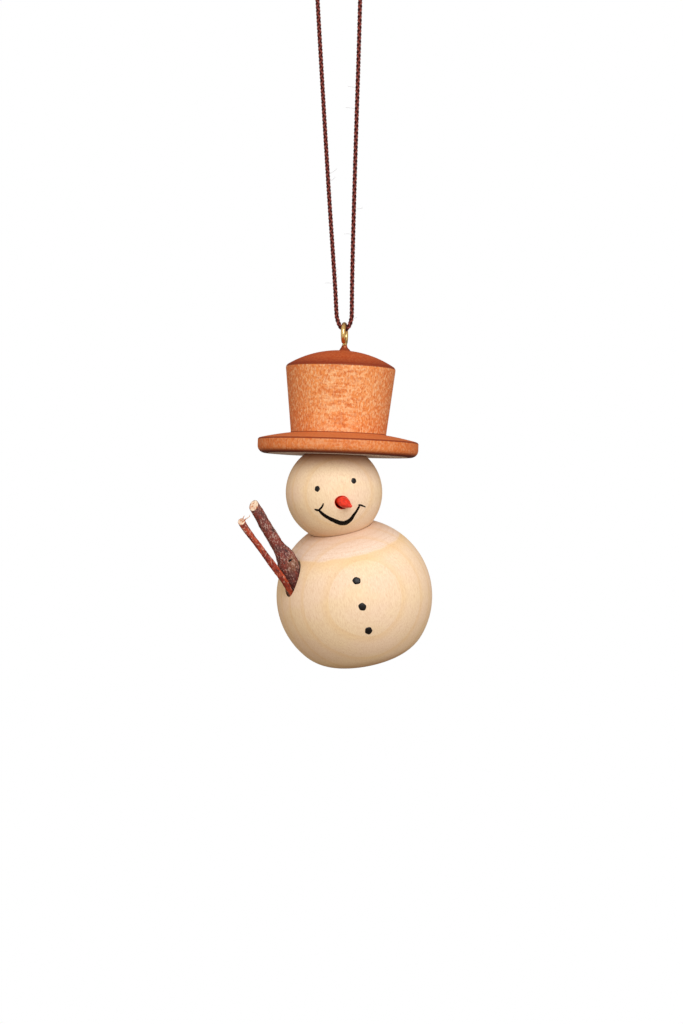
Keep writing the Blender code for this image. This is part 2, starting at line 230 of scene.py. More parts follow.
def new_object(name, mesh, materials, matrix):
    for finish in materials:
        mesh.materials.append(finish)
    piece = bpy.data.objects.new(name, mesh)
    bpy.context.scene.collection.objects.link(piece)
    piece.matrix_world = matrix
    return piece


def from_bmesh(name, bm, materials=(), matrix=Matrix.Identity(4), sharp=40):
    """An object from a bmesh that was built in millimetres."""
    bmesh.ops.recalc_face_normals(bm, faces=bm.faces)
    bmesh.ops.scale(bm, vec=(MM, MM, MM), verts=bm.verts)
    mesh = bpy.data.meshes.new(name)
    bm.to_mesh(mesh)
    bm.free()
    mesh.shade_smooth()
    mesh.set_sharp_from_angle(angle=math.radians(sharp))
    return new_object(name, mesh, materials, matrix)


def bridge(bm, rings):
    """Faces between neighbouring rings of vertices, where a ring of one vertex is a pole."""
    for upper, lower in zip(rings, rings[1:]):
        sides = max(len(upper), len(lower))
        for k in range(sides):
            n = (k + 1) % sides
            if len(upper) == 1:
                bm.faces.new((upper[0], lower[k], lower[n]))
            elif len(lower) == 1:
                bm.faces.new((upper[k], lower[0], upper[n]))
            else:
                bm.faces.new((upper[k], lower[k], lower[n], upper[n]))


def cap(bm, rings):
    if len(rings[0]) > 1:
        bm.faces.new(rings[0])
    if len(rings[-1]) > 1:
        bm.faces.new(reversed(rings[-1]))


def arc(centre_r, centre_z, radius, start, end, count):
    """Points of a profile's round stretch as (radius, height), from one angle to the other in degrees."""
    angles = [math.radians(start + (end - start) * i / count) for i in range(count + 1)]
    return [(centre_r + radius * math.cos(a), centre_z + radius * math.sin(a)) for a in angles]


def turns(count):
    """The angles of that many equal steps round a circle."""
    return [2 * math.pi * k / count for k in range(count)]


def turned(name, profile, segments, materials=(), matrix=Matrix.Identity(4)):
    """A solid of revolution about Z. The profile runs from its top point to its bottom point."""
    bm = bmesh.new()
    rings = []
    for radius, height in profile:
        if radius < 1e-4:
            rings.append([bm.verts.new((0.0, 0.0, height))])
            continue
        ring = [(radius * math.cos(angle), radius * math.sin(angle), height) for angle in turns(segments)]
        rings.append([bm.verts.new(spot) for spot in ring])
    bridge(bm, rings)
    cap(bm, rings)
    return from_bmesh(name, bm, materials, matrix)


def smooth_route(points, steps):
    """Points along the Catmull-Rom curve through the given points, that many steps to each stretch."""
    ends = [2 * points[0] - points[1]] + points + [2 * points[-1] - points[-2]]
    found = []
    for a, b, c, d in zip(ends, ends[1:], ends[2:], ends[3:]):
        square = 2 * a - 5 * b + 4 * c - d
        cube = 3 * b - a - 3 * c + d
        for i in range(steps):
            t = i / steps
            found.append(0.5 * (2 * b + (c - a) * t + square * t**2 + cube * t**3))
    return found + [points[-1]]


def even_points(points, spacing):
    """The same route with its points a constant distance apart."""
    lengths = [0.0]
    for a, b in zip(points, points[1:]):
        lengths.append(lengths[-1] + (b - a).length)
    count = max(2, round(lengths[-1] / spacing))
    found = []
    k = 0
    for i in range(count + 1):
        want = lengths[-1] * i / count
        while k < len(points) - 2 and lengths[k + 1] < want:
            k += 1
        share = (want - lengths[k]) / (lengths[k + 1] - lengths[k])
        found.append(points[k].lerp(points[k + 1], share))
    return found


def frames_along(points, first_normal):
    """(point, tangent, normal, binormal) at each point, turned as little as possible from one to the next."""
    normal = Vector(first_normal)
    found = []
    for i, point in enumerate(points):
        tangent = (points[min(i + 1, len(points) - 1)] - points[max(i - 1, 0)]).normalized()
        normal = (normal - tangent * normal.dot(tangent)).normalized()
        found.append((point, tangent, normal, tangent.cross(normal)))
    return found


def sweep(bm, stations, sizes, sides):
    """A closed tube with an ellipse at each station, its half sizes along normal and binormal."""
    rings = []
    for (point, _tangent, normal, binormal), (a, b) in zip(stations, sizes):
        ring = [point + normal * (a * math.cos(t)) + binormal * (b * math.sin(t)) for t in turns(sides)]
        rings.append([bm.verts.new(spot) for spot in ring])
    bridge(bm, rings)
    cap(bm, rings)


def cut_away(piece, cutters):
    """Cuts the cutters from the piece and removes them."""
    for cutter in cutters:
        cut = piece.modifiers.new("cut", "BOOLEAN")
        cut.operation = "DIFFERENCE"
        cut.solver = "EXACT"
        cut.object = cutter
    bpy.context.view_layer.update()
    mesh = bpy.data.meshes.new_from_object(piece.evaluated_get(bpy.context.evaluated_depsgraph_get()))
    piece.modifiers.clear()
    piece.data = mesh
    mesh.set_sharp_from_angle(angle=math.radians(CUT_SHARP_ANGLE))
    for cutter in cutters:
        bpy.data.objects.remove(cutter, do_unlink=True)


def mark_grain(piece):
    """Stores how each point lies to the grain: end grain faces up or down, the front shows flat-sawn wood and
    the sides show quarter-sawn wood."""
    mesh = piece.data
    ways = {
        "end_grain": lambda normal: abs(normal.z),
        "upward": lambda normal: max(0.0, normal.z),
        "downward": lambda normal: max(0.0, -normal.z),
        "front": lambda normal: -normal.y,
        "quarter": lambda normal: abs(normal.x),
    }
    for name, measure in ways.items():
        shade = mesh.attributes.new(name, "FLOAT", "POINT")
        for vertex, value in zip(mesh.vertices, shade.data):
            value.value = measure(vertex.normal)


# Materials


def srgb(red, green, blue):
    """A linear colour from sRGB values of 0 to 255."""
    linear = []
    for value in (red, green, blue):
        v = value / 255
        linear.append(v / 12.92 if v <= 0.04045 else ((v + 0.055) / 1.055) ** 2.4)
    return (*linear, 1.0)


PINK_WOOD = srgb(254, 228, 206)
YELLOW_WOOD = srgb(254, 230, 194)
NECK_WOOD = srgb(255, 236, 222)
RING_WOOD = srgb(244, 204, 140)
FLECK_WOOD = srgb(222, 181, 140)
END_WOOD = srgb(190, 140, 96)
# the colour of the painted shadow that the hat's brim casts on the head's top
BRIM_SHADOW_COLOUR = srgb(136, 52, 14)
HAT_MID = srgb(243, 160, 96)
HAT_WARM = srgb(239, 149, 81)
HAT_LIGHT = srgb(255, 210, 160)
HAT_DARK = srgb(198, 90, 36)
HAT_SIDE = srgb(214, 106, 44)
HAT_END = srgb(188, 80, 32)
HAT_END_DARK = srgb(152, 58, 24)
# painted shade on the brim's lower edge
HAT_LOW_EDGE_SHADE = srgb(96, 34, 14)
# dark brown for the rounded corners, and painted shade on the downward faces
HAT_CORNER_AND_SHADE_DARK = srgb(126, 42, 18)

RING_EDGE = 0.96


class Finish:
    """A material and short calls that add its nodes."""

    def __init__(self, name, roughness, metallic=0.0, lean=0.0):
        self.lean = lean
        self.material = bpy.data.materials.new(name)
        self.material.use_nodes = True
        self.tree = self.material.node_tree
        self.shader = self.tree.nodes["Principled BSDF"]
        self.shader.inputs["Roughness"].default_value = roughness
        self.shader.inputs["Metallic"].default_value = metallic

    def add(self, kind, inputs, **settings):
        made = self.tree.nodes.new("ShaderNode" + kind)
        for key, value in settings.items():
            setattr(made, key, value)
        for key, value in inputs.items():
            if isinstance(value, bpy.types.NodeSocket):
                self.tree.links.new(value, made.inputs[key])
            else:
                made.inputs[key].default_value = value
        return made

    def position(self, stretch=(1.0, 1.0, 1.0), shift=(0.0, 0.0, 0.0)):
        """The place on the piece in millimetres, along its own leaning axes, stretched and shifted."""
        coordinates = self.add("TexCoord", {})
        upright = self.add("Mapping", {0: coordinates.outputs["Object"], "Rotation": (0.0, -self.lean, 0.0)})
        scale = tuple(s / MM for s in stretch)
        mapping = self.add("Mapping", {0: upright.outputs[0], "Location": shift, "Scale": scale})
        return mapping.outputs[0]

    def along(self, direction):
        """How far the place lies along the direction, in millimetres."""
        inputs = {0: self.position(), 1: direction}
        return self.add("VectorMath", inputs, operation="DOT_PRODUCT").outputs["Value"]

    def noise(self, stretch, detail=2.0, roughness=0.5, distortion=0.0, shift=(0.0, 0.0, 0.0), source=None):
        """Noise over the piece, or over another vector source that is already in millimetres."""
        if source is None:
            place = self.position(stretch, shift)
        else:
            place = self.add("Mapping", {0: source, "Location": shift, "Scale": stretch}).outputs[0]
        inputs = {
            "Vector": place,
            "Scale": 1.0,
            "Detail": detail,
            "Roughness": roughness,
            "Distortion": distortion,
        }
        return self.add("TexNoise", inputs).outputs[0]

    def ramp(self, value, low, high):
        """0 below the low value and 1 above the high one."""
        return self.add("MapRange", {0: value, 1: low, 2: high}, interpolation_type="SMOOTHSTEP").outputs[0]

    def maths(self, operation, a, b=0.0, c=0.0):
        return self.add("Math", {0: a, 1: b, 2: c}, operation=operation).outputs[0]

    def mix(self, share, a, b, blend="MIX"):
        made = self.add("Mix", {"Factor": share}, data_type="RGBA", blend_type=blend)
        for socket, value in ((made.inputs[6], a), (made.inputs[7], b)):
            if isinstance(value, bpy.types.NodeSocket):
                self.tree.links.new(value, socket)
            else:
                socket.default_value = value
        return made.outputs[2]

    def tint(self, share, strength, colour, other):
        """The colour turned towards the other one by the share times the strength."""
        return self.mix(self.maths("MULTIPLY", share, strength), colour, other)

    def attribute(self, name):
        return self.add("Attribute", {}, attribute_name=name).outputs["Fac"]

    def bump(self, height, strength, distance):
        made = self.add("Bump", {"Height": height, "Strength": strength, "Distance": distance})
        self.tree.links.new(made.outputs[0], self.shader.inputs["Normal"])

    def colour(self, socket):
        self.tree.links.new(socket, self.shader.inputs["Base Color"])


def growth_rings(finish, facing, spacing, wobble, stretch, start, offset=0.0):
    """How dark the growth ring is, for sheets of wood square to the facing direction. Each darkens from the
    start, a share of its thickness, to its edge."""
    across = finish.along(Vector(facing).normalized())
    drift = finish.noise(stretch, detail=2.0)
    distance = finish.maths("ADD", finish.maths("MULTIPLY_ADD", drift, wobble, across), offset)
    phase = finish.maths("FRACT", finish.maths("DIVIDE", distance, spacing))
    return finish.maths("SUBTRACT", finish.ramp(phase, start, RING_EDGE), finish.ramp(phase, RING_EDGE, 1.0))


def pale_wood():
    """Sanded pale wood: faint growth rings, short fibres, pinkish and yellowish areas, a paler zone round the
    neck with the lathe's fine circles, darker end grain, and the painted shadow of the hat's brim on the
    head's top."""
    finish = Finish("pale_wood", 0.62, lean=GRAIN_LEAN)
    facing = (0.134, -0.99, -0.04)
    rings = growth_rings(finish, facing, 3.1, 1.3, (0.07, 0.07, 0.05), 0.62, 1.58)
    lines = growth_rings(finish, facing, 0.40, 0.9, (0.16, 0.16, 0.08), 0.2)
    fine = finish.noise((5.5, 5.5, 1.2), detail=3.0, roughness=0.65)
    fleck = finish.ramp(finish.noise((3.2, 3.2, 0.9), detail=2.0), 0.54, 0.72)
    patch = finish.ramp(finish.noise((0.09, 0.09, 0.17), detail=2.0, shift=(3.0, 1.0, 2.2)), 0.38, 0.66)
    height = finish.along(BODY_AXIS)
    latitude = finish.maths("MULTIPLY_ADD", finish.noise((0.22, 0.22, 0.3), detail=3.0), 0.9, height)
    top = finish.ramp(latitude, 10.6, 11.1)
    band = finish.maths("SUBTRACT", finish.ramp(latitude, 8.6, 10.8), top)
    circles = finish.ramp(finish.maths("FRACT", finish.maths("DIVIDE", latitude, 0.7)), 0.55, 0.9)
    speck = finish.ramp(finish.noise((1.5, 1.5, 1.2), detail=4.0, roughness=0.7), 0.62, 0.74)
    pore = finish.ramp(finish.noise((7.0, 7.0, 4.0), detail=1.0), 0.68, 0.80)
    colour = finish.tint(patch, 0.6, YELLOW_WOOD, PINK_WOOD)
    colour = finish.tint(top, 0.85, colour, NECK_WOOD)
    colour = finish.tint(finish.maths("MULTIPLY", top, circles), 0.16, colour, FLECK_WOOD)
    colour = finish.tint(band, 0.45, colour, RING_WOOD)
    colour = finish.tint(rings, 0.32, colour, RING_WOOD)
    colour = finish.tint(lines, 0.06, colour, FLECK_WOOD)
    colour = finish.tint(fleck, 0.25, colour, FLECK_WOOD)
    colour = finish.tint(finish.ramp(fine, 0.35, 0.70), 0.34, colour, FLECK_WOOD)
    colour = finish.tint(speck, 0.30, colour, FLECK_WOOD)
    colour = finish.tint(pore, 0.28, colour, END_WOOD)
    end = finish.ramp(finish.attribute("end_grain"), 0.62, 1.0)
    colour = finish.tint(end, 0.50, colour, END_WOOD)
    # painted shadow: the head's top turns towards the colour of the brim's shadow
    colour = finish.tint(finish.attribute("brim_shadow"), 0.85, colour, BRIM_SHADOW_COLOUR)
    finish.colour(colour)
    finish.bump(finish.maths("ADD", fine, finish.maths("MULTIPLY", fleck, -0.5)), 0.35, 0.03 * MM)
    finish.shader.inputs["Specular IOR Level"].default_value = 0.20
    return finish.material


def stained_wood():
    """Orange-brown stain: light and flecked in front, deeper on the sides, dark on the end grain and darker
    on the rounded corners. The downward faces are darkened as painted shade on top of their darker end grain,
    and the brim's top is lightened as a painted reflection of the crown."""
    finish = Finish("stained_wood", 0.55, lean=HAT_LEAN)
    cells = finish.noise((2.9, 2.9, 1.6), detail=1.5, distortion=0.5)
    light = finish.ramp(cells, 0.46, 0.62)
    meshes = finish.noise((3.4, 3.4, 1.8), detail=1.5, distortion=0.6, shift=(5.0, 3.0, 1.0))
    net = finish.ramp(meshes, 0.50, 0.64)
    waves = finish.noise((0.38, 0.38, 1.5), distortion=0.45, shift=(2.0, 0.0, 4.0))
    middle = finish.ramp(finish.attribute("front"), 0.90, 0.985)
    fine = finish.ramp(finish.noise((9.0, 9.0, 2.4), detail=3.0), 0.45, 0.75)
    patch = finish.ramp(finish.noise((0.14, 0.14, 0.12), detail=2.0), 0.35, 0.65)
    side = finish.mix(patch, HAT_MID, HAT_WARM)
    side = finish.tint(finish.ramp(finish.attribute("quarter"), 0.45, 1.0), 0.65, side, HAT_SIDE)
    side = finish.tint(light, 0.62, side, HAT_LIGHT)
    side = finish.tint(net, 0.58, side, HAT_DARK)
    arcs = finish.maths("MULTIPLY", finish.ramp(waves, 0.50, 0.62), middle)
    side = finish.tint(arcs, 0.50, side, HAT_LIGHT)
    hollows = finish.maths("MULTIPLY", finish.ramp(waves, 0.46, 0.36), middle)
    side = finish.tint(hollows, 0.42, side, HAT_DARK)
    side = finish.tint(fine, 0.35, side, HAT_DARK)
    height = finish.add("SeparateXYZ", {0: finish.position()}).outputs["Z"]
    side = finish.tint(finish.ramp(height, 4.0, 3.3), 0.45, side, HAT_SIDE)
    sheets = growth_rings(finish, (0.02, -1.0, 0.0), 0.9, 0.8, (0.3, 0.3, 0.05), 0.4)
    end = finish.tint(sheets, 0.45, HAT_END, HAT_END_DARK)
    end = finish.tint(light, 0.18, end, HAT_MID)
    # painted reflection of the crown: the end grain low on the hat, on the brim's top, is lighter
    end = finish.tint(finish.ramp(height, 6.0, 4.5), 0.30, end, HAT_MID)
    upward = finish.attribute("upward")
    colour = finish.mix(finish.ramp(upward, 0.20, 0.62), side, end)
    # darker on the rounded corners where side and top faces meet
    corner = finish.maths("SUBTRACT", finish.ramp(upward, 0.10, 0.30), finish.ramp(upward, 0.80, 0.94))
    colour = finish.tint(corner, 0.85, colour, HAT_CORNER_AND_SHADE_DARK)
    # painted shade: the downward faces darken, most of all at the brim's lower edge; their end grain is
    # darker too
    downward = finish.attribute("downward")
    colour = finish.tint(finish.ramp(downward, 0.38, 0.78), 0.80, colour, HAT_CORNER_AND_SHADE_DARK)
    colour = finish.mix(finish.ramp(downward, 0.66, 0.90), colour, HAT_LOW_EDGE_SHADE)
    finish.colour(colour)
    finish.bump(finish.maths("ADD", cells, fine), 0.45, 0.04 * MM)
    finish.shader.inputs["Specular IOR Level"].default_value = 0.20
    return finish.material


def bare_wood():
    """The hat's underside: end grain with hardly any stain, greyish and matt."""
    finish = Finish("bare_wood", 0.6)
    fine = finish.noise((5.0, 1.2, 5.0), detail=3.0)
    colour = finish.mix(finish.ramp(fine, 0.35, 0.65), srgb(226, 216, 214), srgb(188, 172, 168))
    finish.colour(colour)
    finish.bump(fine, 0.3, 0.04 * MM)
    return finish.material


def cut_wood():
    """Pale splintered wood at a twig's cut end."""
    finish = Finish("cut_wood", 0.7)
    grain = finish.noise((1.3, 1.3, 1.3), detail=4.0, roughness=0.65, distortion=0.5)
    colour = finish.mix(finish.ramp(grain, 0.46, 0.62), srgb(250, 228, 202), srgb(200, 112, 64))
    finish.colour(colour)
    finish.bump(grain, 0.6, 0.08 * MM)
    return finish.material


def bark(name, base, dark, warm, fleck, fleck_size, cover):
    """Bark with a mottled ground, dark furrows along the twig and the healed knot. Pale flecks of lichen lie
    where their noise is above the cover. The slit in the knot is coloured near black as painted shade."""
    finish = Finish(name, 0.72)
    place = finish.add("Attribute", {}, attribute_name="bark_place").outputs["Vector"]
    ground = finish.noise((0.9, 0.9, 0.45), detail=4.0, roughness=0.65, source=place)
    furrow = finish.noise((2.6, 2.6, 0.8), detail=4.0, roughness=0.7, distortion=0.6, source=place)
    sizes = (fleck_size, fleck_size, 0.62 * fleck_size)
    spots = finish.noise(sizes, detail=3.0, roughness=0.62, shift=(2.0, 7.0, 4.0), source=place)
    crowd = finish.noise((0.55, 0.55, 0.4), detail=2.0, shift=(8.0, 1.0, 3.0), source=place)
    level = finish.maths("MULTIPLY_ADD", crowd, 0.30, finish.maths("ADD", spots, -0.15))
    colour = finish.mix(finish.ramp(ground, 0.40, 0.58), base, warm)
    colour = finish.tint(finish.ramp(furrow, 0.50, 0.62), 0.85, colour, dark)
    mark = finish.maths("MULTIPLY", finish.attribute("scar"), finish.ramp(spots, 0.30, 0.50))
    colour = finish.tint(mark, 0.85, colour, srgb(134, 98, 70))
    colour = finish.tint(finish.ramp(level, cover, cover + 0.10), 0.85, colour, fleck)
    # painted shade: the slit in the healed knot is coloured near black
    pit = finish.ramp(finish.attribute("pit"), 0.2, 0.6)
    colour = finish.mix(pit, colour, srgb(16, 9, 7))
    finish.colour(colour)
    finish.bump(finish.maths("ADD", furrow, spots), 0.9, 0.14 * MM)
    return finish.material


def lacquer(name, colour, roughness, coat, shine=0.5):
    """Brushed-on lacquer with a slightly uneven skin and colour."""
    finish = Finish(name, roughness)
    skin = finish.noise((1.3, 1.3, 1.3), detail=2.0)
    darker = tuple(c * 0.62 for c in colour[:3]) + (1.0,)
    finish.colour(finish.mix(finish.ramp(skin, 0.35, 0.7), colour, darker))
    finish.bump(skin, 0.3, 0.05 * MM)
    finish.shader.inputs["Specular IOR Level"].default_value = shine
    finish.shader.inputs["Coat Weight"].default_value = coat
    finish.shader.inputs["Coat Roughness"].default_value = 0.12
    return finish.material


def brass():
    """Drawn brass wire with a little tarnish and fine draw marks."""
    finish = Finish("brass", 0.24, metallic=1.0)
    tarnish = finish.ramp(finish.noise((1.2, 1.2, 1.2), detail=3.0), 0.45, 0.75)
    marks = finish.noise((9.0, 9.0, 1.5), detail=2.0)
    colour = finish.mix(tarnish, srgb(236, 205, 138), srgb(196, 146, 76))
    finish.colour(colour)
    finish.tree.links.new(
        finish.add("MapRange", {0: tarnish, 3: 0.18, 4: 0.38}).outputs[0], finish.shader.inputs["Roughness"]
    )
    finish.bump(marks, 0.15, 0.02 * MM)
    return finish.material


def cord_braid():
    """Dark red-brown cotton twisted from fine yarn. Each strand is painted lighter where it lies on top, as a
    painted highlight, and darker where it dips under and in the gaps, as painted shade.
    """
    finish = Finish("brown_cord", 0.85)
    yarn = finish.noise((9.0, 9.0, 4.5), detail=2.0, distortion=1.0)
    # painted light: the strand's tops are lighter as painted highlight, the gaps darker as painted shade
    top = finish.ramp(finish.attribute("painted_strand_light"), 0.25, 0.95)
    colour = finish.mix(top, srgb(80, 26, 22), srgb(158, 84, 75))
    colour = finish.tint(finish.ramp(yarn, 0.5, 0.7), 0.5, colour, srgb(94, 36, 31))
    finish.colour(colour)
    finish.bump(yarn, 0.8, 0.05 * MM)
    finish.shader.inputs["Specular IOR Level"].default_value = 0.12
    finish.shader.inputs["Sheen Weight"].default_value = 0.06
    return finish.material


# Cord and knot

LOOSE_FIBRES = 46
FRAYED_FIBRES = 22


def braid(bm, painted_strand_light, points, radius, period):
    """Four flat strands plaited round a thin core. Two wind each way, passing over and under by turns."""
    spacing = period / 18
    mean_radius = 0.66 * radius
    swing = 0.17 * radius
    thickness = 0.27 * radius
    width = 0.56 * radius
    sides = 8
    stations = frames_along(even_points(points, spacing), (0, 1, 0))
    core = 0.42 * radius
    sweep(bm, stations, [(core, core)] * len(stations), sides)
    for strand in range(4):
        way = 1 if strand % 2 == 0 else -1
        start = math.pi * (strand // 2) + (0 if way == 1 else math.pi / 2)
        rings = []
        for i, (point, tangent, normal, binormal) in enumerate(stations):
            travel = 2 * math.pi * i * spacing / period
            angle = start + way * travel
            outward = normal * math.cos(angle) + binormal * math.sin(angle)
            sideways = tangent.cross(outward)
            over = math.sin(2 * travel) * way
            centre = point + outward * (mean_radius + swing * over)
            ring = []
            for turn in turns(sides):
                lift = math.cos(turn)
                vertex = bm.verts.new(centre + outward * thickness * lift + sideways * width * math.sin(turn))
                # painted light: lighter where the strand passes over and faces out, darker as painted shade
                # where it dips under and turns in
                vertex[painted_strand_light] = max(0.0, 0.25 + 0.3 * over + 0.35 * lift)
                ring.append(vertex)
            rings.append(ring)
        bridge(bm, rings)
        cap(bm, rings)


def braided(name, routes, finish):
    bm = bmesh.new()
    painted_strand_light = bm.verts.layers.float.new("painted_strand_light")
    for route in routes:
        braid(bm, painted_strand_light, smooth_route(route, ROUTE_STEPS), CORD_RADIUS, BRAID_PERIOD)
    return from_bmesh(name, bm, [finish], sharp=80)


def make_cord(finish):
    """The braided loop from one side of the knot, through the screw eye, to its other side."""
    points = [Vector((x, 0, z)) for x, z in CORD_ROUTE]
    cord = braided("hanging_cord_braid", [[point / MM for point in points]], finish)
    ends = [[Vector(point) for point in end] for end in (KNOT_WRAP, KNOT_CORE)]
    knot = braided("cord_knot_braid", ends, finish)
    fuzz = make_fuzz(finish)
    for piece in (cord, knot, fuzz):
        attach(piece, CORD)
    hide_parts("hanging_cord")
    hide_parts("cord_knot")


def steady_vector(place):
    """Three smooth noise values, the same on every run, which those of mathutils' noise_vector aren't."""
    return Vector([noise.noise(place + Vector((shift, 0.0, 0.0))) for shift in (0.0, 31.7, 67.3)])


def make_fuzz(finish):
    """Loose cotton fibres that stand out of the cord, and the frayed tips of its two ends."""
    bm = bmesh.new()
    bm.verts.layers.float.new("painted_strand_light")
    route = even_points(smooth_route([Vector((x, 0, z)) / MM for x, z in CORD_ROUTE], ROUTE_STEPS), 0.5)
    for n in range(LOOSE_FIBRES):
        share = noise.cell(Vector((n, 3.5, 0.5)))
        point = route[int(share * (len(route) - 1))]
        lean = steady_vector(Vector((n * 1.7, 0.3, 2.1))).normalized()
        lean.z = lean.z * 0.6 + 0.2
        length = 0.8 + 1.4 * noise.cell(Vector((n, 9.5, 0.5)))
        hair(bm, point, lean, length)
    for route in (KNOT_WRAP, KNOT_CORE):
        tip = Vector(route[-1])
        outward = (tip - Vector(route[-2])).normalized()
        for n in range(FRAYED_FIBRES):
            spread = steady_vector(Vector((n * 2.3, tip.x, 4.4)))
            start = tip - outward * 0.4 + spread * 0.22
            length = 0.55 + 0.35 * noise.cell(Vector((n, 1.5, 0.5)))
            hair(bm, start, (outward + spread * 0.9).normalized(), length)
    return from_bmesh("cord_fuzz", bm, [finish])


def hair(bm, start, direction, length):
    """One fine curled fibre."""
    curl = direction.orthogonal().normalized()
    points = [start + direction * length * t + curl * 0.35 * length * t * t for t in (0.0, 0.33, 0.66, 1.0)]
    sweep(bm, frames_along(points, curl), [(0.017, 0.017)] * len(points), 4)


# The figure


def profile_of_body():
    fillet_height = -(BODY_FLAT_DROP - BODY_FLAT_FILLET)
    inner = BODY_RADIUS - BODY_FLAT_FILLET
    fillet_radius = math.sqrt(inner**2 - fillet_height**2)
    tangent = math.degrees(math.atan2(fillet_height, fillet_radius))
    profile = arc(0, 0, BODY_RADIUS, 90, tangent, 90)
    profile += arc(fillet_radius, fillet_height, BODY_FLAT_FILLET, tangent, -90, 14)[1:]
    return profile + [(4.0, -BODY_FLAT_DROP), (0.0, -BODY_FLAT_DROP)]


def ball(name, radius, segments, materials, matrix):
    return turned(name, arc(0, 0, radius, 90, -90, segments // 2), segments, materials, matrix)


def peg_cutter(name, radius, length, seat, axis):
    matrix = Matrix.Translation(seat) @ along(axis)
    return turned(name, [(radius, length), (radius, -length)], 64, (), matrix)


def make_body(finish):
    matrix = Matrix.Translation(BODY_CENTRE) @ along(HEAD_CENTRE - BODY_CENTRE)
    body = turned("body_ball", profile_of_body(), 180, [finish], matrix)
    seat = ball("seat_cutter", HEAD_RADIUS + JOINT_GAP, 128, (), Matrix.Translation(HEAD_CENTRE))
    hole_seat = BODY_CENTRE + TWIG_HOLE_MOUTH * MM
    hole = peg_cutter("hole_cutter", TWIG_HOLE_RADIUS, TWIG_HOLE_DEPTH, hole_seat, TWIG_HOLE_AXIS)
    cut_away(body, [seat, hole])
    mark_grain(body)
    place(body, "pale_wood", "body")


def make_head(finish):
    """The upper ball. The inside of the nose's hole is dark red: red paint that ran in, darkened further as
    painted shade of the hole's depth. The head's top is darkened as the painted shadow of the hat's brim.
    """
    # painted shade: the inside of the nose's hole is red paint darkened to stand in for the hole's depth
    stain = lacquer("nose_hole_painted_shade", srgb(120, 14, 8), 0.6, coat=0.0)
    head = ball("head_ball", HEAD_RADIUS, 160, [finish, stain], Matrix.Translation(HEAD_CENTRE))
    nose_seat = HEAD_CENTRE + NOSE_SEAT * MM
    cut_away(head, [peg_cutter("nose_cutter", NOSE_HOLE_RADIUS, NOSE_HOLE_DEPTH, nose_seat, NOSE_AXIS)])
    # the faces inside the nose's hole get the dark red painted shade
    for face in head.data.polygons:
        inside = face.center.length < (HEAD_RADIUS - 0.04) * MM
        face.material_index = 1 if inside and (face.center / MM - NOSE_SEAT).length < 6.0 else 0
    mark_grain(head)
    # painted shadow of the hat's brim: the head's top darkens from 4.2 mm above its centre, fully at 7.2 mm
    stained = head.data.attributes.new("brim_shadow", "FLOAT", "POINT")
    shadow_from, shadow_full = 4.2, 7.2
    for vertex, value in zip(head.data.vertices, stained.data):
        share = (vertex.co.z / MM - shadow_from) / (shadow_full - shadow_from)
        value.value = min(1.0, max(0.0, share)) ** 1.6
    place(head, "pale_wood", "head")


def hat_profile():
    """The hat from the middle of its domed top to the middle of its underside, with its stained margin."""
    height, dome_radius, edge_round = 20.1, 19.0, 0.8
    crown_top_radius, crown_base_radius, crown_base = 10.5, 9.15, 4.15
    brim_radius, rim_top, rim_top_round, rim_low_round, seam_round = 15.4, 2.95, 0.45, 1.4, 0.22
    dome_centre = height - dome_radius
    edge_centre = crown_top_radius - edge_round
    crown_top = dome_centre + math.sqrt((dome_radius - edge_round) ** 2 - edge_centre**2)
    edge_angle = math.degrees(math.atan2(crown_top - dome_centre, edge_centre))
    profile = arc(0, dome_centre, dome_radius, 90, edge_angle, 30)
    profile += arc(edge_centre, crown_top, edge_round, edge_angle, -6, 10)[1:]
    top_radius, top_height = profile[-1]
    wall_rows, brim_rows = 40, 16
    for i in range(1, wall_rows):
        t = i / wall_rows
        radius = top_radius + (crown_base_radius - top_radius) * t
        profile.append((radius, top_height + (crown_base + 0.15 - top_height) * t))
    profile += arc(crown_base_radius + seam_round, crown_base + 0.12, seam_round, 180, 250, 4)
    last_radius, last_height = profile[-1]
    brim_end = brim_radius - rim_top_round * 0.75
    for i in range(1, brim_rows):
        t = i / brim_rows
        radius = last_radius + (brim_end - last_radius) * t
        profile.append((radius, last_height - (last_height - rim_top) * (0.70 * t + 0.30 * t * t)))
    profile += arc(brim_radius - rim_top_round, rim_top - rim_top_round, rim_top_round, 70, 0, 6)
    profile += [(brim_radius, 2.2), (brim_radius, 1.8)]
    profile += arc(brim_radius - rim_low_round, rim_low_round, rim_low_round, 0, -90, 12)
    return profile + [(UNDERSIDE_RADIUS, 0.0), (11.0, 0.0), (0.0, 0.0)]


def make_hat(side, underside):
    matrix = Matrix.Translation(HAT_BASE) @ leaning(HAT_LEAN)
    hat = turned("top_hat", hat_profile(), 256, [side, underside], matrix)
    cut_away(hat, [ball("hat_cutter", HEAD_RADIUS + JOINT_GAP, 96, (), Matrix.Translation(HEAD_CENTRE))])
    for face in hat.data.polygons:
        flat = face.center.z < 0.05 * MM and face.normal.z < -0.9
        face.material_index = 1 if flat and face.center.xy.length < UNDERSIDE_RADIUS * MM else 0
    mark_grain(hat)
    place(hat, "stained_wood", "hat")
    make_collar(side)


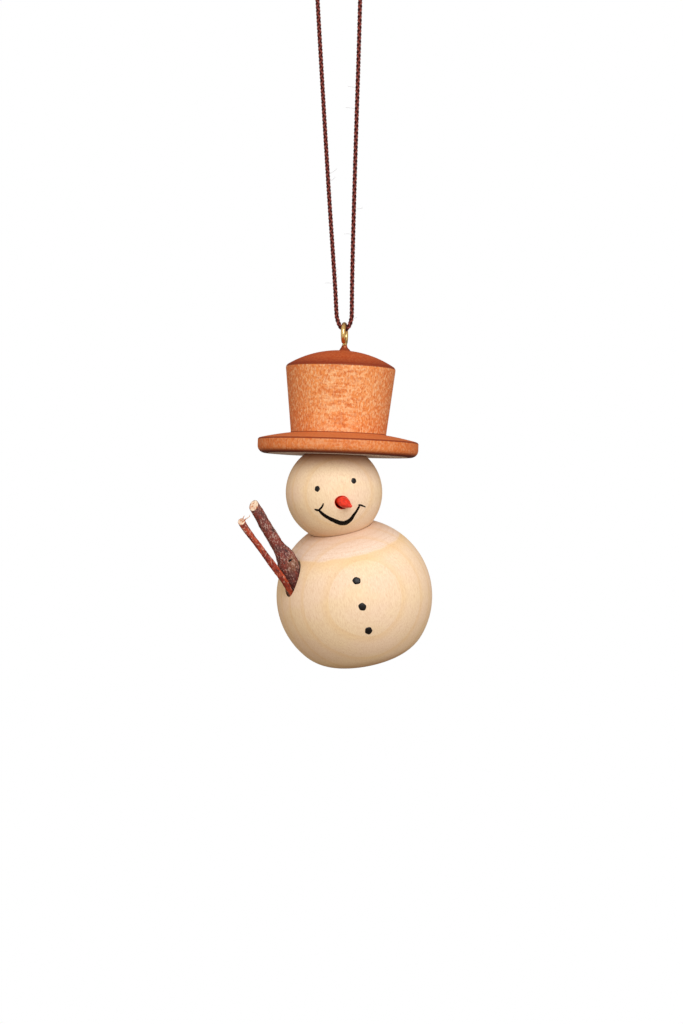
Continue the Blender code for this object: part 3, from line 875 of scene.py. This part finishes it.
def make_collar(finish):
    """The rough lip of wood fibres that the screw eye's thread pushed up, which spills out on one side."""
    bm = bmesh.new()
    upper = [(0.47, 1.10), (0.50, 1.06), (0.55, 0.86), (0.63, 0.56), (0.78, 0.28)]
    profile = upper + [(1.00, 0.02), (1.25, -0.5)]
    spilt_rows = (4, 5)
    rings = []
    for n, (radius, height) in enumerate(profile):
        ring = []
        for angle in turns(40):
            rough = noise.noise(Vector((math.cos(angle) * 1.6, math.sin(angle) * 1.6, height * 1.5)))
            spill = 0.30 * max(0.0, math.cos(angle)) ** 3 if n in spilt_rows else 0.0
            reach = radius * (1 + 0.22 * rough + spill)
            lift = 0.18 * rough if n < len(upper) else 0.0
            ring.append(bm.verts.new((reach * math.cos(angle), reach * math.sin(angle), height + lift)))
        rings.append(ring)
    bridge(bm, rings)
    cap(bm, rings)
    base = Vector((BIGHT.x, 0, BIGHT.z)) + Vector((0, 0, -COLLAR_DROP)) * MM
    collar = from_bmesh("eye_collar", bm, [finish], Matrix.Translation(base))
    smooth = collar.modifiers.new("smooth", "SUBSURF")
    smooth.levels = 1
    smooth.render_levels = 1
    mark_grain(collar)
    place(collar, "stained_wood")


def place(piece, slot, *nodes):
    """The piece rides on the figure, and stands for the CAD nodes. Its turn goes into its mesh."""
    spot = piece.matrix_world.to_translation()
    piece.data.transform(Matrix.Translation(-spot) @ piece.matrix_world)
    piece.matrix_world = Matrix.Translation(spot)
    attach(piece, FIGURE)
    if nodes:
        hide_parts(*nodes)


def make_screw_eye(finish):
    """One brass wire: a straight shank, a bend, and an open ring cut off square near the shank."""
    shank = [(0, 2.6), (0, 1.6), (0, 0.9), (0.14, 0.25)]
    points = [Vector((0, y, -RING_RADIUS - drop)) for y, drop in shank]
    points += [Vector((0, y, z)) for y, z in arc(0, 0, RING_RADIUS, -68, 238, 48)]
    bm = bmesh.new()
    stations = frames_along(even_points(smooth_route(points, 6), 0.09), (1, 0, 0))
    radii = [WIRE_RADIUS] * len(stations)
    radii[0] = radii[-1] = 0.90 * WIRE_RADIUS
    radii[1] = radii[-2] = 0.98 * WIRE_RADIUS
    sweep(bm, stations, [(radius, radius) for radius in radii], 28)
    centre = BIGHT + Vector((0, 0, CORD_RADIUS + 0.1 + WIRE_RADIUS - RING_RADIUS)) * MM
    matrix = Matrix.Translation(centre) @ Matrix.Rotation(RING_TURN, 4, "Z")
    eye = from_bmesh("screw_eye_wire", bm, [finish], matrix)
    place(eye, "brass", "screw_eye")


def on_ball(radius, x, z):
    """The point of a ball's front at a place across and up from its centre."""
    return Vector((x, -math.sqrt(radius**2 - x**2 - z**2), z))


def dab(name, ball_radius, centre, x, z, radius, height, finish):
    """A dot of paint with a slightly uneven edge, domed, and sunk a little into the ball at its rim."""
    bm = bmesh.new()
    seat = on_ball(ball_radius, x, z)
    rings = []
    for t, sunk in ((0.0, 0.0), (0.3, 0.0), (0.55, 0.0), (0.75, 0.0), (0.9, 0.0), (1.0, 0.0), (1.0, -0.12)):
        ring = []
        for angle in turns(40) if t else (0.0,):
            wave = 1 + 0.05 * math.cos(2 * angle + x) + 0.04 * math.cos(5 * angle + z)
            reach = radius * t * wave
            fall = ball_radius - math.sqrt(ball_radius**2 - reach**2)
            up = height * math.sqrt(max(0.0, 1 - t * t)) + sunk - fall + 0.01
            ring.append(bm.verts.new((reach * math.cos(angle), reach * math.sin(angle), up)))
        rings.append(ring)
    bridge(bm, rings)
    cap(bm, rings)
    matrix = Matrix.Translation(centre + seat * MM) @ along(seat.normalized())
    piece = from_bmesh(name, bm, [finish], matrix, sharp=60)
    place(piece, "pale_wood")


def stroke(name, centre, marks, finish):
    """Lines of paint on the head: each is a flat rounded ribbon that follows the ball."""
    bm = bmesh.new()
    for mark in marks:
        route = smooth_route([Vector(point) for point in mark], ROUTE_STEPS)
        points = [on_ball(HEAD_RADIUS, p.x, p.y) for p in route]
        stations = []
        for point, tangent, normal, _binormal in frames_along(points, points[0].normalized()):
            outward = point.normalized()
            stations.append((point, tangent, outward, tangent.cross(outward).normalized()))
        widths = []
        for i, p in enumerate(route):
            end = min(i, len(route) - 1 - i) / 5
            rough = 1 + 0.10 * noise.noise(Vector((p.x * 2.2, p.y * 2.2, 0.4)))
            widths.append(max(0.03, p.z * rough * min(1.0, 0.35 + 0.65 * math.sqrt(min(1.0, end)))))
        sweep(bm, stations, [(STROKE_HEIGHT, width) for width in widths], 14)
    piece = from_bmesh(name, bm, [finish], Matrix.Translation(centre), sharp=70)
    place(piece, "pale_wood")


def make_paint():
    black = lacquer("black_paint", srgb(20, 17, 18), 0.42, coat=0.12, shine=0.25)
    matt_black = lacquer("black_line", srgb(14, 8, 6), 0.6, coat=0.0, shine=0.12)
    for n, (x, z) in enumerate(EYES):
        dab(f"painted_eye_{n + 1}", HEAD_RADIUS, HEAD_CENTRE, x, z, EYE_RADIUS, EYE_HEIGHT, black)
    for n, (x, z) in enumerate(BUTTONS):
        dab(f"painted_button_{n + 1}", BODY_RADIUS, BODY_CENTRE, x, z, BUTTON_RADIUS, BUTTON_HEIGHT, black)
    stroke("painted_smile", HEAD_CENTRE, [SMILE, LEFT_TICK, LEFT_DIMPLE, RIGHT_TICK], matt_black)


def make_nose():
    """The carrot peg, fatter towards its root than a straight taper, with its shank in the hole."""
    red = lacquer("red_paint", srgb(255, 56, 30), 0.42, coat=0.10)
    profile = arc(0, NOSE_LENGTH - NOSE_TIP_RADIUS, NOSE_TIP_RADIUS, 90, 20, 6)
    start_radius, start_height = profile[-1]
    root_height, rows = 0.25, 24
    for i in range(1, rows):
        t = i / rows
        bulge = math.sin(math.pi * t) * (0.26 * t - 0.05 * (1 - t))
        radius = start_radius + (NOSE_RADIUS - start_radius) * t + bulge
        profile.append((radius, start_height + (root_height - start_height) * t))
    profile += [(NOSE_RADIUS, 0.1), (NOSE_RADIUS - 0.02, -0.4), (NOSE_RADIUS - 0.1, -NOSE_SHANK)]
    seat = HEAD_CENTRE + (NOSE_SEAT + NOSE_SHIFT) * MM
    nose = turned("nose_peg", profile, 64, [red], Matrix.Translation(seat) @ along(NOSE_AXIS))
    place(nose, "red_paint", "nose")
    make_nose_rim(red)


def make_nose_rim(finish):
    """The uneven thread of paint that ran round the edge of the nose's hole."""
    side = NOSE_AXIS.orthogonal().normalized()
    other = NOSE_AXIS.cross(side)
    rings = []
    bm = bmesh.new()
    for angle in turns(72):
        spot = NOSE_SEAT + (side * math.cos(angle) + other * math.sin(angle)) * (NOSE_HOLE_RADIUS + 0.01)
        reach = spot.dot(NOSE_AXIS)
        spot += NOSE_AXIS * (math.sqrt(reach**2 - spot.length_squared + HEAD_RADIUS**2) - reach)
        outward = spot.normalized()
        across = (spot - NOSE_SEAT).cross(NOSE_AXIS).cross(outward).normalized()
        wide = 0.03 + 0.03 * max(0.0, noise.noise(spot * 1.3 + Vector((7.0, 0.0, 2.0))) + 0.3)
        ring = [spot + outward * 0.03 * math.cos(a) + across * wide * math.sin(a) for a in turns(10)]
        rings.append([bm.verts.new(corner) for corner in ring])
    bridge(bm, rings + rings[:1])
    rim = from_bmesh("nose_paint_rim", bm, [finish], Matrix.Translation(HEAD_CENTRE))
    place(rim, "red_paint")


def make_twig(name, stations, seed, cut_slope, finishes, scar=None):
    """A natural twig: a knobbly round stick with rough bark and a slanted, split cut at its outer end."""
    spacing = 0.11
    route = even_points(smooth_route([Vector(s) for s in stations], ROUTE_STEPS), spacing)
    sides = 64
    cut_rows = 14
    bm = bmesh.new()
    scar_layer = bm.verts.layers.float.new("scar")
    pit_layer = bm.verts.layers.float.new("pit")
    place_layer = bm.verts.layers.float_vector.new("bark_place")
    rings = []
    frames = frames_along([p.to_3d() for p in route], (0, -1, 0))
    for i, (point, tangent, normal, binormal) in enumerate(frames):
        base = route[i].w
        ring = []
        for angle in turns(sides):
            outward = normal * math.cos(angle) + binormal * math.sin(angle)
            where = point + outward * base + Vector((seed, 0, 0))
            lump = 0.05 * noise.noise(where * 0.55) + 0.035 * noise.noise(where * 1.6)
            rough = 0.035 * noise.noise(where * 4.0) + 0.018 * noise.noise(where * 9.0)
            radius = base * (1 + lump) + rough
            mark, pit = scar_depth(point + outward * base, scar)
            radius += 0.10 * mark - 0.32 * pit
            spot = point + outward * radius
            if i < cut_rows:
                spot -= tangent * base * outward.dot(Vector(cut_slope)) * (1 - i / cut_rows) ** 1.5
            vertex = bm.verts.new(spot)
            vertex[scar_layer] = mark
            vertex[pit_layer] = pit
            vertex[place_layer] = (base * math.cos(angle) + seed, base * math.sin(angle), spacing * i)
            ring.append(vertex)
        rings.append(ring)
    bridge(bm, rings)
    bm.faces.new(reversed(rings[-1]))
    close_cut(bm, rings[0], seed)
    return from_bmesh(name, bm, finishes, Matrix.Translation(BODY_CENTRE), sharp=55)


def scar_depth(spot, scar):
    """How strongly the healed knot shows at a spot, and how deep the slit in its middle is there."""
    if scar is None:
        return 0.0, 0.0
    off = spot - Vector(scar)
    mark = math.exp(-((Vector((off.x - 0.2, off.y, (off.z + 0.5) * 0.62)).length / 1.0) ** 4))
    along_slit = off.x * 0.87 + off.z * 0.50
    across_slit = off.z * 0.87 - off.x * 0.50
    pit = math.exp(-((Vector((along_slit / 0.46, across_slit / 0.20, off.y / 1.5)).length) ** 4))
    return mark, pit


def close_cut(bm, ring, seed):
    """Closes the twig's outer end by rings that step in to its middle: the bark's edge, then split wood."""
    middle = sum((v.co for v in ring), Vector()) / len(ring)
    facing = (ring[0].co - middle).cross(ring[len(ring) // 4].co - middle).normalized()
    rings = [ring]
    for share in (0.94, 0.87, 0.72, 0.55, 0.38, 0.2):
        inner = []
        for vertex in ring:
            spot = middle.lerp(vertex.co, share)
            split = 0.16 * noise.noise(spot * 2.6 + Vector((seed, 2, 0))) + 0.05 * noise.noise(spot * 8.0)
            inner.append(bm.verts.new(spot + facing * split * min(1.0, 3.0 * (1 - share))))
        rings.append(inner)
    hub = bm.verts.new(middle)
    for outer, inner in zip(rings, rings[1:] + [None]):
        for k in range(len(ring)):
            n = (k + 1) % len(ring)
            inward = (inner[k], inner[n]) if inner else (hub,)
            face = bm.faces.new((outer[n], outer[k], *inward))
            face.material_index = 0 if outer is ring else 1


def make_twigs():
    thick_bark = bark(
        "bark",
        base=srgb(101, 55, 52),
        dark=srgb(48, 24, 24),
        warm=srgb(132, 54, 42),
        fleck=srgb(188, 154, 142),
        fleck_size=4.0,
        cover=0.53,
    )
    thin_bark = bark(
        "red_bark",
        base=srgb(142, 42, 22),
        dark=srgb(74, 20, 13),
        warm=srgb(188, 72, 36),
        fleck=srgb(210, 170, 150),
        fleck_size=3.6,
        cover=0.545,
    )
    cut = cut_wood()
    thick = make_twig("thick_twig_bark", THICK_TWIG, 3.0, (0.21, 0.72, 0.12), [thick_bark, cut], HEALED_KNOT)
    thin = make_twig("thin_twig_bark", THIN_TWIG, 11.0, (0.0, 0.80, 0.0), [thin_bark, cut])
    place(thick, "bark", "thick_twig")
    place(thin, "red_bark", "thin_twig")
    place(make_splinters(cut), "red_bark")


def make_splinters(finish):
    """Torn fibres that stand up from the thin twig's cut."""
    bm = bmesh.new()
    tip = Vector(THIN_TWIG[0][:3])
    splinters = [
        [(0.15, -0.1, 0.25), (0.32, -0.15, 0.65), (0.55, -0.2, 1.15)],
        [(0.50, 0.0, 0.10), (0.80, -0.1, 0.48), (1.22, -0.2, 0.74), (1.52, -0.25, 0.98), (1.58, -0.3, 1.26)],
        [(-0.15, -0.1, 0.1), (-0.12, -0.15, 0.5)],
    ]
    for line in splinters:
        route = smooth_route([tip + Vector(p) for p in line], 6)
        tapers = [1 - 0.5 * i / (len(route) - 1) for i in range(len(route))]
        sweep(bm, frames_along(route, (0, 1, 0)), [(0.15 * taper, 0.11 * taper) for taper in tapers], 8)
    return from_bmesh("twig_splinters", bm, [finish], Matrix.Translation(BODY_CENTRE))


# The studio

CAMERA_PLACE = Vector((-0.5745, -400.0, -34.95))
CAMERA_LENS = 73.4
FLOOR_HEIGHT = -0.30
FILL_COLOUR = (1.0, 0.87, 0.735, 1)
FILL_IN_FRONT = 0.69
FILL_BEHIND = 0.20


def make_camera():
    data = bpy.data.cameras.new("camera")
    data.sensor_width = 36.0
    data.lens = CAMERA_LENS
    camera = bpy.data.objects.new("camera", data)
    bpy.context.scene.collection.objects.link(camera)
    camera.location = BIGHT + CAMERA_PLACE * MM
    camera.rotation_euler = (math.radians(90), 0, 0)
    data.clip_start = 0.01
    bpy.context.scene.camera = camera


def make_key_light():
    """A large soft box above and to the right of the camera."""
    data = bpy.data.lights.new("key", "AREA")
    data.shape = "RECTANGLE"
    data.size = 300 * MM
    data.size_y = 300 * MM
    data.energy = 1.18
    data.color = (1.0, 1.035, 1.09)
    light = bpy.data.objects.new("key", data)
    bpy.context.scene.collection.objects.link(light)
    light.location = Vector((90, -385, 90)) * MM
    aim = Vector((1, 0, -110)) * MM - light.location
    light.rotation_euler = aim.to_track_quat("-Z", "Y").to_euler()


def make_studio():
    """A white surround that the camera sees, a warm dimmer one that lights, a soft box and a round floor."""
    world = bpy.data.worlds.new("studio")
    bpy.context.scene.world = world
    world.use_nodes = True
    nodes = world.node_tree.nodes
    links = world.node_tree.links
    seen = nodes.new("ShaderNodeBackground")
    seen.inputs["Color"].default_value = (1, 1, 1, 1)
    seen.inputs["Strength"].default_value = 1.0
    fill = nodes["Background"]
    fill.inputs["Color"].default_value = FILL_COLOUR
    direction = nodes.new("ShaderNodeSeparateXYZ")
    links.new(nodes.new("ShaderNodeTexCoord").outputs["Generated"], direction.inputs[0])
    backdrop = nodes.new("ShaderNodeMapRange")
    for socket, value in ((1, 0.1), (2, 0.8), (3, FILL_IN_FRONT), (4, FILL_BEHIND)):
        backdrop.inputs[socket].default_value = value
    links.new(direction.outputs["Y"], backdrop.inputs[0])
    links.new(backdrop.outputs[0], fill.inputs["Strength"])
    path = nodes.new("ShaderNodeLightPath")
    choose = nodes.new("ShaderNodeMixShader")
    links.new(path.outputs["Is Camera Ray"], choose.inputs[0])
    links.new(fill.outputs[0], choose.inputs[1])
    links.new(seen.outputs[0], choose.inputs[2])
    links.new(choose.outputs[0], nodes["World Output"].inputs["Surface"])
    make_key_light()
    floor = turned("floor", [(360.0, 0.0), (360.0, -4.0)], 128)
    floor.location = (0, 0, FLOOR_HEIGHT)
    finish = Finish("floor_white", 0.6)
    finish.shader.inputs["Base Color"].default_value = (0.29, 0.24, 0.18, 1)
    floor.data.materials.append(finish.material)
    view = bpy.context.scene.view_settings
    view.view_transform = "Standard"
    view.look = "None"


def main():
    make_camera()
    make_cord(cord_braid())
    make_studio()
    pale = pale_wood()
    make_body(pale)
    make_head(pale)
    make_hat(stained_wood(), bare_wood())
    make_nose()
    make_paint()
    make_twigs()
    make_screw_eye(brass())
    for name in ("neck_dowel", "hat_dowel"):
        materials = frame["nodes"][name].data.materials
        materials.clear()
        materials.append(pale)


main()
